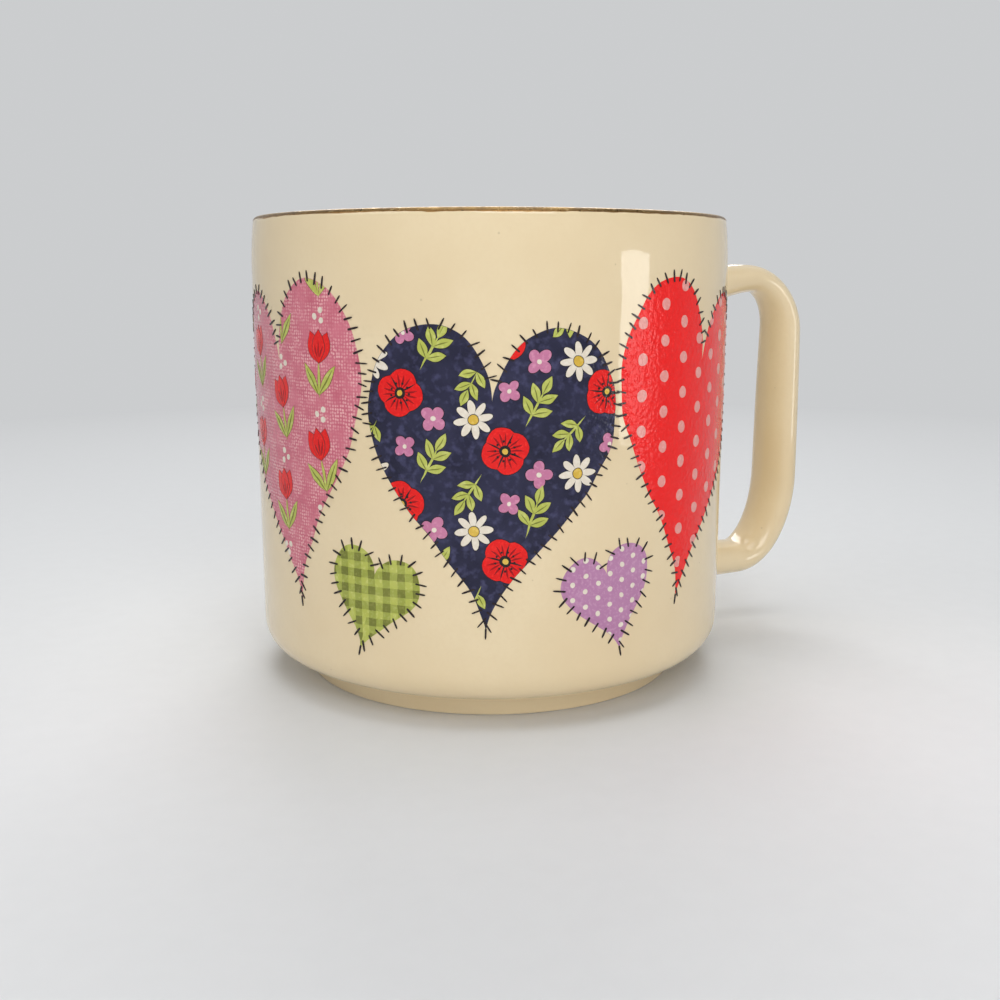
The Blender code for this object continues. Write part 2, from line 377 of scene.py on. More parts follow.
def cream_glaze(name):
    """Warm cream glaze: faintly clouded, with fine grain, a few iron specks and a slightly wavy gloss."""
    glaze = Finish(name, IOR=1.52)
    clouds = glaze.level(glaze.noise(0.022, 3.0), 0.35, 0.65)
    grain = glaze.level(glaze.noise(0.0007, 2.0), 0.40, 0.75, 0.0, 0.35)
    specks = glaze.level(glaze.cells(0.0048), 0.028, 0.045, 0.45, 0.0)
    cream = glaze.blend(clouds, CREAM_DEEP, CREAM)
    grained = glaze.blend(grain, cream, CREAM_DEEP)
    glaze.colour(glaze.blend(specks, grained, CREAM_SPECK))
    glaze.drive("Roughness", glaze.level(glaze.noise(0.006, 3.0), 0.3, 0.7, 0.03, 0.07))
    glaze.relief(glaze.noise(0.010, 1.0), 0.00008)
    glaze.relief(glaze.noise(0.0035, 1.0), 0.00002)
    glaze.relief(glaze.noise(0.0012, 1.0), 0.000004)
    return glaze.material


def bisque():
    """The bare fired clay that the foot stands on."""
    clay = Finish("bare_foot", IOR=1.5)
    stain = clay.level(clay.noise(0.004, 4.0), 0.35, 0.7)
    clay.colour(clay.blend(stain, BISQUE, BISQUE_DEEP))
    clay.drive("Roughness", clay.level(clay.noise(0.0008, 2.0), 0.3, 0.7, 0.6, 0.85))
    clay.relief(clay.noise(0.0005, 3.0), 0.00006)
    return clay.material


def worn_gold():
    """Fired gold rubbed thin by use, with painted shade darkening its outer side below the crest, bright flecks
    and an amber lower edge.
    """
    gold = Finish("worn_gold", IOR=1.5)
    rubbed = gold.level(gold.noise(0.0034, 3.0), 0.40, 0.70)
    flecks = gold.level(gold.noise(0.0005, 3.0, (1.0, 1.0, 0.5)), 0.60, 0.78)
    edge = gold.level(gold.height(), *AMBER_EDGE, 1.0, 0.0)
    # Painted shade: the gold's side is darkened up to just under its crest, and the crest stays bright
    side = gold.level(gold.height(), *SIDE_SHADE_SPAN, 1.0, 0.0)
    tone = gold.blend(rubbed, GOLD_BRIGHT, GOLD_RUBBED)
    side_shaded = gold.blend(side, tone, GOLD_SIDE_SHADE)
    flecked = gold.blend(flecks, side_shaded, GOLD_FLECK)
    gold.colour(gold.blend(edge, flecked, GOLD_AMBER))
    gold.drive("Metallic", gold.level(rubbed, 0.0, 1.0, 0.95, 0.75))
    gold.drive("Roughness", gold.level(gold.noise(0.0004, 3.0), 0.3, 0.7, 0.20, 0.55))
    gold.relief(gold.noise(0.0006, 3.0), 0.00003)
    return gold.material


def ink(name, deep, pale, grain=0.0005, sparse=0.5):
    """Fired printing ink: two tones broken up by grain, and a gloss with the print's own fine relief."""
    made = Finish(name, IOR=1.5, Specular_IOR_Level=0.28)
    mottle = made.level(made.noise(0.005, 3.0), 0.3, 0.7, 0.0, 0.4)
    flecks = made.level(made.noise(grain, 2.0), sparse, sparse + 0.22)
    mottled = made.blend(mottle, deep, pale)
    made.colour(made.blend(flecks, mottled, pale))
    print_gloss(made)
    return made.material


def woven_ink(name, deep, tone, pale, pitch):
    """The print of a woven cloth: pale threads in loose rows on a clouded ground."""
    made = Finish(name, IOR=1.5, Specular_IOR_Level=0.28)
    clouds = made.level(made.noise(0.004, 3.0), 0.3, 0.7)
    threads = made.level(made.weave(pitch), 0.24, 0.46, 1.0, 0.0)
    showing = made.level(made.noise(0.0022, 3.0), 0.40, 0.66, 0.12, 0.95)
    made.colour(made.blend(made.times(threads, showing), made.blend(clouds, deep, tone), pale))
    print_gloss(made)
    return made.material


def print_gloss(made):
    """The print's gloss, broken up by the crinkle of its fired film."""
    made.drive("Roughness", made.level(made.noise(0.0015, 2.0), 0.3, 0.7, 0.09, 0.20))
    made.relief(made.noise(0.0007, 2.0), 0.00013)


# Meshes


def arc(centre, radii, start, end, steps=ARC_STEPS, squareness=2.0):
    """Points of a (super)ellipse from start to end degrees, 0 pointing outwards and 90 up."""
    points = []
    for step in range(steps + 1):
        angle = math.radians(start + (end - start) * step / steps)
        across = math.copysign(abs(math.cos(angle)) ** (2 / squareness), math.cos(angle))
        along = math.copysign(abs(math.sin(angle)) ** (2 / squareness), math.sin(angle))
        points.append((centre[0] + radii[0] * across, centre[1] + radii[1] * along))
    return points


def straight(start, end, steps):
    """Points between two points, without the two themselves."""
    return [
        tuple(a + (b - a) * step / steps for a, b in zip(start, end))
        for step in range(1, steps)
    ]


def skin(shape, rows, joined=False):
    """Adds the faces between rings of points. Joined, the last ring meets the first."""
    following = rows[1:] + rows[:1] if joined else rows[1:]
    for one, other in zip(rows, following):
        for step in range(len(one)):
            shape.faces.new((one[step - 1], one[step], other[step], other[step - 1]))


def loft(name, rings, joined=False):
    """Skins a row of rings. Joined, the last ring meets the first, and otherwise both ends are filled."""
    shape = bmesh.new()
    rows = [[shape.verts.new(point) for point in points] for points in rings]
    skin(shape, rows, joined)
    if not joined:
        shape.faces.new(rows[0])
        shape.faces.new(rows[-1])
    return finished(shape, name)


def finished(shape, name, sharp=40):
    """Turns a closed shape's faces outwards and makes it a smooth mesh in its place in the frame."""
    bmesh.ops.recalc_face_normals(shape, faces=shape.faces)
    if shape.calc_volume(signed=True) < 0:
        bmesh.ops.reverse_faces(shape, faces=shape.faces)
    mesh = bpy.data.meshes.new(name)
    shape.to_mesh(mesh)
    shape.free()
    mesh.transform(Matrix.Translation((AXIS_X, 0, 0)))
    mesh.shade_smooth()
    mesh.set_sharp_from_angle(angle=math.radians(sharp))
    return mesh


def ring(radius, height):
    """A ring round the mug's axis."""
    return [
        Vector((radius * math.cos(angle), radius * math.sin(angle), height))
        for angle in (2 * math.pi * step / ROUND_STEPS for step in range(ROUND_STEPS))
    ]


def piece(mesh, nodes, slot, *materials):
    """Puts a mesh in the scene in place of CAD nodes, on the mug's one body."""
    made = bpy.data.objects.new(mesh.name, mesh)
    bpy.context.scene.collection.objects.link(made)
    for finish in materials:
        mesh.materials.append(finish)
    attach(made, "root")
    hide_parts(*nodes)
    return made


# Casting and gilding


def lip(grow, inner_end=180.0, outer_end=0.0):
    """The lip's section from inside to outside, pushed out by grow."""
    wide, drop = LIP_OUTER_ROUND
    crest = LIP_RADIUS - wide
    inner = LIP_WALL - wide
    inner_middle = (crest, LIP_TOP - LIP_INNER_DROP)
    inner_side = arc(inner_middle, (inner + grow, LIP_INNER_DROP + grow), inner_end, 90)
    outer_side = arc((crest, LIP_TOP - drop), (wide + grow, drop + grow), 90, outer_end)
    return inner_side + outer_side[1:]


def drawn_in():
    """The wall's outer side where it draws in towards the lip, from the lip down to the straight wall."""
    top = LIP_TOP - LIP_OUTER_ROUND[1]
    points = []
    for step in range(1, ARC_STEPS + 1):
        down = step / ARC_STEPS
        points.append((BODY_RADIUS - LIP_DRAW * (1 - down) ** 2, top + (LIP_DRAW_START - top) * down))
    return points


def body_section():
    """The casting's section, from the middle of the inner floor over the lip to the middle of the recess."""
    inner_middle = (BODY_RADIUS - WALL - INNER_CORNER, FLOOR_TOP + INNER_CORNER)
    inner_corner = arc(inner_middle, (INNER_CORNER, INNER_CORNER), -90, 0)
    lower_corner = arc(
        (CORNER_INNER_RADIUS, CORNER_TOP),
        (BODY_RADIUS - CORNER_INNER_RADIUS, CORNER_TOP - CORNER_BOTTOM),
        0,
        -90,
        squareness=CORNER_SQUARENESS,
    )
    foot_inside = FOOT_RADIUS - FOOT_WIDTH
    foot_round = (FOOT_ROUND, FOOT_ROUND)
    floor_start = (FOOT_WIDTH, FLOOR_TOP)
    recess_end = (foot_inside, RECESS)
    profile = [floor_start]
    profile += straight(floor_start, inner_corner[0], FLOOR_STEPS)
    profile += inner_corner
    profile += straight(inner_corner[-1], lip(0.0)[0], INNER_WALL_STEPS)
    profile += lip(0.0)
    profile += drawn_in()
    profile += straight(drawn_in()[-1], lower_corner[0], OUTER_WALL_STEPS)
    profile += lower_corner
    profile += [(FOOT_RADIUS, CORNER_BOTTOM)]
    profile += arc((FOOT_RADIUS - FOOT_ROUND, FOOT_ROUND), foot_round, 0, -90, FOOT_STEPS)
    profile += arc((foot_inside + FOOT_ROUND, FOOT_ROUND), foot_round, -90, -180, FOOT_STEPS)
    profile += [recess_end]
    profile += straight(recess_end, (FOOT_WIDTH, RECESS), FLOOR_STEPS)
    profile += [(FOOT_WIDTH, RECESS)]
    return profile


def add_body():
    mesh = loft("glazed_body", [ring(*point) for point in body_section()])
    made = piece(mesh, ["mug_body"], "cream_glaze", cream_glaze("body_glaze"), bisque())
    for face in mesh.polygons:
        face.material_index = int(face.center.z < FOOT_ROUND / 2)
    return made


def gold_section(azimuth):
    """The gold's section at an azimuth, out over the lip and back beneath, with ends that wander."""
    around = Vector((math.cos(azimuth), math.sin(azimuth), 0))
    wander = GOLD_WANDER * sum(share * noise.noise(around * rate) for rate, share in GOLD_WAVES)
    ends = (GOLD_INNER_END + wander, GOLD_OUTER_END + wander)
    profile = lip(GOLD, *ends) + lip(-GOLD, *ends)[::-1]
    return [around * radius + Vector((0, 0, height)) for radius, height in profile]


def add_gilding():
    azimuths = [2 * math.pi * step / ROUND_STEPS for step in range(ROUND_STEPS)]
    rings = list(zip(*[gold_section(azimuth) for azimuth in azimuths]))
    return piece(loft("gilt_lip", rings, joined=True), ["rim_gilding"], "fired_gold", worn_gold())


# Handle


def handle_knots():
    """Bezier knots of the handle's middle line: (point, handle before, handle after, size)."""
    root = BODY_RADIUS - ROOT_DEPTH
    upper_r, upper_z = UPPER_CORNER
    lower_r, lower_z = LOWER_CORNER
    upper_arm = (HANDLE_REACH - upper_r - root) / 3
    lower_arm = (HANDLE_REACH - lower_r - root) / 3
    shoulder = Vector((HANDLE_REACH - upper_r, 0, HANDLE_TOP))
    grip_top = Vector((HANDLE_REACH, 0, HANDLE_TOP - upper_z))
    grip_end = Vector((HANDLE_REACH, 0, HANDLE_BOTTOM + lower_z))
    heel = Vector((HANDLE_REACH - lower_r, 0, HANDLE_BOTTOM))
    upper_drop = (UPPER_ROOT_SIZE - UPPER_CORNER_SIZE) * HANDLE_THICK / 2
    lower_rise = (LOWER_ROOT_SIZE - LOWER_CORNER_SIZE) * HANDLE_THICK / 2
    top_root = Vector((root, 0, HANDLE_TOP - upper_drop))
    low_root = Vector((root, 0, HANDLE_BOTTOM + lower_rise))
    out = Vector((1, 0, 0))
    up = Vector((0, 0, 1))
    third = (grip_end - grip_top) / 3
    bend = CIRCLE_BEZIER
    return [
        (top_root, top_root - out * upper_arm, top_root + out * upper_arm, UPPER_ROOT_SIZE),
        (shoulder, shoulder - out * upper_arm, shoulder + out * upper_r * bend, UPPER_CORNER_SIZE),
        (grip_top, grip_top + up * upper_z * bend, grip_top + third, GRIP_TOP_SIZE),
        (grip_end, grip_end - third, grip_end - up * lower_z * bend, GRIP_END_SIZE),
        (heel, heel + out * lower_r * bend, heel - out * lower_arm, LOWER_CORNER_SIZE),
        (low_root, low_root + out * lower_arm, low_root - out * lower_arm, LOWER_ROOT_SIZE),
    ]


def cardinal(before, start, end, after, t):
    """A value between start and end on a cardinal spline, as a curve's radius is carried between knots."""
    pull = CARDINAL_TENSION
    return (
        before * (-pull * t**3 + 2 * pull * t**2 - pull * t)
        + start * ((2 - pull) * t**3 + (pull - 3) * t**2 + 1)
        + end * ((pull - 2) * t**3 + (3 - 2 * pull) * t**2 + pull * t)
        + after * (pull * t**3 - pull * t**2)
    )


def bezier(knot, following, t):
    """A point and its direction on the curve from one knot to the next."""
    a, b, c, d = knot[0], knot[2], following[1], following[0]
    s = 1 - t
    point = a * s**3 + b * 3 * s**2 * t + c * 3 * s * t**2 + d * t**3
    along = (b - a) * s**2 + (c - b) * 2 * s * t + (d - c) * t**2
    return point, along.normalized()


def handle_line():
    """The handle's middle line as (point, direction, size), from the upper root to the lower."""
    knots = handle_knots()
    sizes = [knot[3] for knot in knots]
    sizes = sizes[:1] + sizes + sizes[-1:]
    line = []
    for index in range(len(knots) - 1):
        last = index == len(knots) - 2
        for step in range(SEGMENT_STEPS + last):
            t = step / SEGMENT_STEPS
            point, along = bezier(knots[index], knots[index + 1], t)
            line.append((point, along, cardinal(*sizes[index : index + 4], t)))
    return line


def handle_section(point, along, size):
    """The handle's oval section at a point of its line."""
    across = Vector((0, 1, 0))
    thick = along.cross(across) * HANDLE_THICK / 2 * size
    wide = across * HANDLE_WIDE / 2 * size
    angles = [2 * math.pi * step / SECTION_STEPS for step in range(SECTION_STEPS)]
    return [point + thick * math.cos(angle) + wide * math.sin(angle) for angle in angles]


def add_handle():
    mesh = loft("glazed_handle", [handle_section(*place) for place in handle_line()])
    return piece(mesh, ["handle"], "cream_glaze", cream_glaze("handle_glaze"))


def arm_at(arm, x):
    """The height and size of an arm of the handle at a distance from the mug's axis."""
    for (near, _, near_size), (far, _, far_size) in zip(arm, arm[1:]):
        if x <= far.x:
            break
    share = (x - near.x) / (far.x - near.x)
    return near.z + (far.z - near.z) * share, near_size + (far_size - near_size) * share


def fillet_ring(arm, spread, stand):
    """A ring round the root of an arm: spread outside its section, and standing off the wall."""
    made = []
    for step in range(SECTION_STEPS):
        angle = 2 * math.pi * step / SECTION_STEPS
        x = BODY_RADIUS + stand
        for _ in range(FILLET_ROUNDS):
            height, size = arm_at(arm, x)
            y = (HANDLE_WIDE / 2 * size + spread) * math.sin(angle)
            x = math.sqrt((BODY_RADIUS + stand) ** 2 - y**2)
        made.append(Vector((x, y, height + (HANDLE_THICK / 2 * size + spread) * math.cos(angle))))
    return made


def add_fillet(name, node, arm):
    """The slip that was smoothed round the joint with a wet finger: a hollow fillet from handle to wall."""
    rings = []
    for step in range(FILLET_STEPS + 1):
        turn = math.pi / 2 * step / FILLET_STEPS
        rings.append(fillet_ring(arm, FILLET * (1 - math.cos(turn)), FILLET * (1 - math.sin(turn))))
    rings.append(fillet_ring(arm, FILLET, -FILLET_SINK))
    rings.append(fillet_ring(arm, -FILLET_SINK, -FILLET_SINK))
    rings.append(fillet_ring(arm, -FILLET_SINK, FILLET))
    mesh = loft(name, rings, joined=True)
    return piece(mesh, [node], "fired_slip", cream_glaze(name + "_glaze"))


def add_fillets():
    """Both joints, where the arms of the handle leave the wall."""
    line = handle_line()
    add_fillet("slip_fillet_upper", "handle_slip_upper", line[: SEGMENT_STEPS + 1])
    add_fillet("slip_fillet_lower", "handle_slip_lower", line[: -SEGMENT_STEPS - 2 : -1])


# Flat artwork


def oval(middle, long, wide, turn=0.0, count=20):
    """An ellipse, counter-clockwise."""
    spin = cmath.exp(1j * turn)
    angles = [2 * math.pi * step / count for step in range(count)]
    return [middle + spin * complex(long * math.cos(angle), wide * math.sin(angle)) for angle in angles]


def leaf(root, tip, width, count=10):
    """A pointed leaf from root to tip, counter-clockwise."""
    run = tip - root
    across = 1j * run / abs(run) * width / 2
    steps = [step / count for step in range(count + 1)]
    right = [root + run * t - across * math.sin(math.pi * t) for t in steps]
    left = [root + run * t + across * math.sin(math.pi * t) for t in steps[1:-1]]
    return right + left[::-1]


def bar(start, end, width):
    """A straight band with slightly tapered, rounded ends, counter-clockwise."""
    run = end - start
    half = 1j * run / abs(run) * width / 2
    right = [start + run * place - half * share for place, share in BAR_PROFILE]
    left = [start + run * place + half * share for place, share in reversed(BAR_PROFILE)]
    return right + left


def middle_of(outline):
    """The middle of an outline's area."""
    area = 0.0
    moment = 0j
    for a, b in zip(outline, outline[1:] + outline[:1]):
        cross = (a.conjugate() * b).imag
        area += cross
        moment += (a + b) * cross
    return moment / (3 * area)


def area_of(outline):
    return sum((a.conjugate() * b).imag for a, b in zip(outline, outline[1:] + outline[:1])) / 2


def grown(outline, width):
    """An outline pushed away from its middle."""
    middle = middle_of(outline)
    return [point + (point - middle) / abs(point - middle) * width for point in outline]


def inside(point, outline):
    """Whether a point lies in an outline."""
    crossings = 0
    for a, b in zip(outline, outline[1:] + outline[:1]):
        if (a.imag > point.imag) != (b.imag > point.imag):
            x = a.real + (point.imag - a.imag) / (b.imag - a.imag) * (b.real - a.real)
            crossings += x > point.real
    return crossings % 2 == 1


def clipped(shape, cloth):
    """The parts of a convex shape that lie on a heart of cloth, whose halves are cut one by one."""
    if all(inside(point, cloth) for point in shape):
        return [shape]
    point = len(cloth) // 2
    parts = []
    for kept in (cloth[: point + 1], cloth[point:] + cloth[:1]):
        for a, b in zip(shape, shape[1:] + shape[:1]):
            kept = cut_by_line(kept, a, b)
        if len(kept) > 2 and area_of(kept) > SMALLEST_SHARE * area_of(shape):
            parts.append(kept)
    return parts


def cut_by_line(outline, a, b):
    """The part of an outline on the left of the line from a to b."""
    run = (b - a).conjugate()
    kept = []
    for start, end in zip(outline, outline[1:] + outline[:1]):
        first = (run * (start - a)).imag
        second = (run * (end - a)).imag
        if first >= 0:
            kept.append(start)
        if (first > 0 > second) or (first < 0 < second):
            kept.append(start + (end - start) * first / (first - second))
    return kept


def swayed(outline, size, sway):
    """An outline as a hand would draw it, a little off its true line."""
    moved = []
    for point in outline:
        spot = Vector((point.real, point.imag, 0)) / size
        moved.append(point + sway * complex(noise.noise(spot), noise.noise(spot + Vector((0, 0, 5)))))
    return moved


def resampled(outline, step):
    """An outline with no stretch longer than step."""
    points = []
    for a, b in zip(outline, outline[1:] + outline[:1]):
        count = max(1, math.ceil(abs(b - a) / step))
        points += [a + (b - a) * index / count for index in range(count)]
    return points


def heart(size, tilt, at):
    """A heart's outline, counter-clockwise."""
    width, height = size
    spin = cmath.exp(1j * math.radians(tilt))
    points = []
    for step in range(HEART_POINTS):
        angle = -2 * math.pi * step / HEART_POINTS
        up = sum(share * math.cos(wave * angle) for wave, share in enumerate(HEART_WAVES, 1))
        flat = complex(width / 2 * math.sin(angle) ** 3, height * (up + HEART_SINK) / HEART_UNITS)
        points.append(at + spin * flat)
    return points


# Motifs: each gives (layer, ink, outline), with lengths as shares of its size


def edged(colour, outline, over=False, line="line"):
    """A blob of colour with a thin dark line round it."""
    yield (LINE_OVER if over else LINE), line, grown(outline, LINE_WIDTH)
    yield (FILL_OVER if over else FILL), colour, outline


def spokes(count, size, turn):
    """Arrows of a flower's size, spread evenly round it."""
    return [cmath.rect(size, turn + index * 2 * math.pi / count) for index in range(count)]


def petal(at, spoke, out, long, wide):
    """A petal along a spoke: how far out it lies, and half its length and width."""
    size = abs(spoke)
    return oval(at + spoke * out, size * long, size * wide, cmath.phase(spoke))


def daisy(at, size, turn):
    for spoke in spokes(8, size, turn):
        yield from edged("white", petal(at, spoke, 0.30, 0.20, 0.092))
    yield from edged("gold", oval(at, size * 0.13, size * 0.13), over=True)


def blossom(at, size, turn):
    for spoke in spokes(4, size, turn):
        yield from edged("lilac", petal(at, spoke, 0.27, 0.22, 0.20))
    yield DETAIL, "white", oval(at, size * 0.09, size * 0.09, count=12)


def poppy(at, size, turn):
    """Four broad petals with brushed folds round a dark eye."""
    for spoke in spokes(4, size, turn):
        yield from edged("red", petal(at, spoke, 0.22, 0.27, 0.30))
        for fold in (-0.36, 0.0, 0.36):
            stroke = spoke * cmath.exp(1j * fold)
            yield LINE_OVER, "crimson", leaf(at + stroke * 0.10, at + stroke * 0.38, size * 0.035)
    for spoke in spokes(4, size, turn + math.pi / 4):
        yield LINE_OVER, "line", leaf(at, at + spoke * 0.40, size * 0.035)
    yield FILL_OVER, "line", oval(at, size * 0.12, size * 0.12, count=16)
    for spoke in spokes(9, size, turn):
        yield FILL_OVER, "line", oval(at + spoke * 0.20, size * 0.026, size * 0.026, count=8)
    yield DETAIL, "gold", oval(at, size * 0.06, size * 0.06, count=10)


def sprig(at, size, turn):
    """A stem with two pairs of leaves and one at its end, each with a vein."""
    spin = cmath.rect(size, turn)
    yield from edged("lime", leaf(at, at + spin * 0.8, size * 0.05))
    blades = [(0.25, 0.9), (0.25, -0.9), (0.5, 0.75), (0.5, -0.75), (0.66, 0.0)]
    for root, lean in blades:
        start = at + spin * root
        end = start + spin * cmath.exp(1j * lean) * 0.38
        yield from edged("lime", leaf(start, end, size * 0.17))
        yield DETAIL, "moss", leaf(start, start + (end - start) * 0.8, size * 0.022)


def tulip(at, size, turn):
    """A tulip on a stem with two long leaves."""
    spin = cmath.rect(size, turn)
    neck = at + spin * 0.05j
    foot = at - spin * 0.48j
    yield from edged("lime", leaf(foot - spin * 0.04j, neck, size * 0.055), line="maroon")
    for side in (-1, 1):
        tip = at + spin * complex(side * 0.33, -0.02)
        yield from edged("lime", leaf(foot, tip, size * 0.15), line="maroon")
        yield DETAIL, "moss", leaf(foot, foot + (tip - foot) * 0.85, size * 0.022)
    base = neck - spin * 0.05j
    for side in (-1, 1):
        tip = at + spin * complex(side * 0.19, 0.47)
        yield from edged("red", leaf(base, tip, size * 0.27), line="maroon")
    yield from edged("red", leaf(base, at + spin * 0.50j, size * 0.26), over=True, line="maroon")
    for side in (-0.07, 0.0, 0.07):
        tip = at + spin * complex(side * 1.3, 0.34 - abs(side))
        yield DETAIL, "crimson", leaf(neck + spin * complex(side * 0.3, 0.03), tip, size * 0.026)


def dot_trio(at, size, turn):
    for spoke in spokes(3, size, turn):
        yield FILL, "white", oval(at + spoke * 0.32, size * 0.17, size * 0.17, count=16)


# Prints: repeats of motifs that are cut off at the cloth's edge


def half_drop(cell, reach):
    """Middles of a repeat in which every second column stands half a cell higher."""
    wide, tall = cell
    columns = math.ceil(reach / wide)
    rows = math.ceil(reach / tall) + 1
    for column in range(-columns, columns + 1):
        for row in range(-rows, rows + 1):
            yield complex(column * wide, (row + column % 2 / 2) * tall)


def repeated(motifs, cell, middle, reach, seed):
    """A repeat of motifs, each with its place in the cell, its size and the range of its turn."""
    chance = random.Random(seed)
    for spot in half_drop(cell, reach):
        for motif, place, size, turns in motifs:
            yield from motif(middle + spot + place, size, chance.uniform(*turns))


def meadow_print(middle, reach):
    """Poppies, daisies, blossoms and sprigs."""
    motifs = (
        (poppy, 0j, 0.0072, (0, 1.5)),
        (sprig, complex(0.0030, 0.0034), 0.0080, (0.9, 1.3)),
        (sprig, complex(-0.0034, -0.0034), 0.0070, (3.9, 4.3)),
        (daisy, complex(-0.0046, 0.0046), 0.0058, (0, 0.7)),
        (blossom, complex(0.0050, -0.0036), 0.0042, (0, 1.5)),
        (blossom, complex(0.0006, -0.0078), 0.0036, (0, 1.5)),
    )
    return repeated(motifs, MEADOW_CELL, middle + MEADOW_SHIFT, reach, 7)


def tulip_print(middle, reach):
    """Tulips and trios of dots."""
    motifs = (
        (tulip, 0j, 0.0100, (-0.25, 0.25)),
        (dot_trio, complex(0.0002, -0.0077), 0.0028, (0, 2)),
    )
    return repeated(motifs, TULIP_CELL, middle, reach, 3)


def polka_print(middle, reach):
    for spot in half_drop(POLKA_CELL, reach):
        yield FILL, "blush", oval(middle + spot, POLKA_RADIUS, POLKA_RADIUS)


def pin_dot_print(middle, reach):
    for spot in half_drop(PIN_DOT_CELL, reach):
        yield FILL, "white", oval(middle + spot, PIN_DOT_RADIUS, PIN_DOT_RADIUS, count=12)


def gingham_print(middle, reach):
    """Checks: bands both ways, deeper where they cross."""
    band = GINGHAM_PITCH / 2
    count = math.ceil(reach / GINGHAM_PITCH)
    places = [step * GINGHAM_PITCH for step in range(-count, count + 1)]
    for place in places:
        across = middle + complex(place, 0)
        upward = middle + complex(0, place)
        yield LINE, "moss_pale", block(across, band, 2 * reach)
        yield FILL, "moss_pale", block(upward, 2 * reach, band)
        for other in places:
            yield FILL_OVER, "moss", block(middle + complex(place, other), band, band)


def block(middle, wide, tall):
    """An upright rectangle, counter-clockwise."""
    corner = complex(wide, tall) / 2
    return [middle - corner, middle + corner.conjugate(), middle + corner, middle - corner.conjugate()]


def stitches(outline, seed):
    """Uneven blanket stitches that straddle a heart's edge, fanned out at its point, clear of its cleft."""
    chance = random.Random(seed)
    fine = resampled(outline, STITCH_PITCH / STITCH_SAMPLES)
    cleft = outline[0]
    point = outline[len(outline) // 2]
    down = (point - cleft) / abs(point - cleft)
    yield STITCH, "thread", bar(point - down * STITCH_INSIDE, point + down * STITCH_OUTSIDE, STITCH_WIDTH)
    travelled = 0.0
    for index, spot in enumerate(fine):
        travelled += abs(spot - fine[index - 1])
        if travelled < STITCH_PITCH or min(abs(spot - cleft), abs(spot - point)) < STITCH_CLEAR:
            continue
        travelled = chance.uniform(*UNEVEN_PITCH) * STITCH_PITCH
        run = fine[(index + STITCH_AIM) % len(fine)] - fine[index - STITCH_AIM]
        outward = -1j * run / abs(run) * cmath.exp(1j * chance.uniform(-STITCH_LEAN, STITCH_LEAN))
        outward += down * STITCH_FAN_PULL * max(0.0, 1 - abs(spot - point) / STITCH_FAN)
        outward /= abs(outward)
        root = spot - outward * STITCH_INSIDE * chance.uniform(*UNEVEN_ROOT)
        tip = spot + outward * STITCH_OUTSIDE * chance.uniform(*UNEVEN_TIP)
        if not inside(tip, outline):
            yield STITCH, "thread", bar(root, tip, STITCH_WIDTH * chance.uniform(*UNEVEN_WIDTH))


# Wrapped films


def wrapped(point, height):
    """A point of the flat artwork on the wall, at a height above the glaze."""
    angle = PRINT_MIDDLE + point.real / BODY_RADIUS
    radius = BODY_RADIUS + height
    return Vector((radius * math.cos(angle), radius * math.sin(angle), point.imag))


def lay(shape, outline, layer, slot):
    """Adds a closed patch of ink, drawn in towards its middle in rings, so that it bends with the wall."""
    outline = resampled(outline, PATCH_STEP)
    middle = middle_of(outline)
    reach = max(abs(point - middle) for point in outline)
    rings = max(1, math.ceil(reach / PATCH_STEP))
    edges = []
    faces = []
    for height, order in ((-INK_SINK, -1), (layer * LAYER, 1)):
        hub = shape.verts.new(wrapped(middle, height))
        rows = []
        for step in range(1, rings + 1):
            spots = [middle + (point - middle) * step / rings for point in outline]
            rows.append([shape.verts.new(wrapped(spot, height)) for spot in spots])
        for index in range(len(outline)):
            faces.append(shape.faces.new((hub, rows[0][index - 1], rows[0][index])[::order]))
            for inner, outer in zip(rows, rows[1:]):
                corners = (inner[index - 1], outer[index - 1], outer[index], inner[index])
                faces.append(shape.faces.new(corners[::order]))
        edges.append(rows[-1])
    low, high = edges
    for index in range(len(outline)):
        faces.append(shape.faces.new((low[index - 1], low[index], high[index], high[index - 1])))
    for face in faces:
        face.material_index = slot
        face.smooth = True


def round_normals(mesh):
    """Shades a wrapped film as part of the round wall, and leaves its thin edges crisp."""
    normals = []
    for face in mesh.polygons:
        for corner in face.loop_indices:
            spot = mesh.vertices[mesh.loops[corner].vertex_index].co
            out = Vector((spot.x, spot.y, 0)).normalized()
            facing = face.normal.dot(out)
            normals.append(out * math.copysign(1, facing) if abs(facing) > FACE_ON else face.normal.copy())
    mesh.normals_split_custom_set(normals)


def add_transfer(name, outline, ground, artwork, seed, inks):
    """One heart: its ground, the print cut to it, and the stitches round it."""
    outline = swayed(outline, CUT_SIZE, CUT_SWAY)
    cloth = grown(outline, -PRINT_MARGIN)
    middle = middle_of(outline)
    reach = max(abs(point - middle) for point in outline)
    shapes = [(GROUND, ground, outline)]
    for layer, colour, shape in artwork(middle, reach):
        drawn = swayed(shape, DRAWN_SIZE, DRAWN_SWAY)
        shapes += [(layer, colour, kept) for kept in clipped(drawn, cloth)]
    shapes += stitches(outline, seed)
    used = sorted({colour for _, colour, _ in shapes})
    film = bmesh.new()
    for layer, colour, shape in shapes:
        lay(film, shape, layer, used.index(colour))
    mesh = bpy.data.meshes.new(name)
    film.to_mesh(mesh)
    film.free()
    round_normals(mesh)
    mesh.transform(Matrix.Translation((AXIS_X, 0, 0)))
    slot = name.split("_")[0] + "_print"
    return piece(mesh, ["transfer_" + name], slot, *[inks[colour] for colour in used])


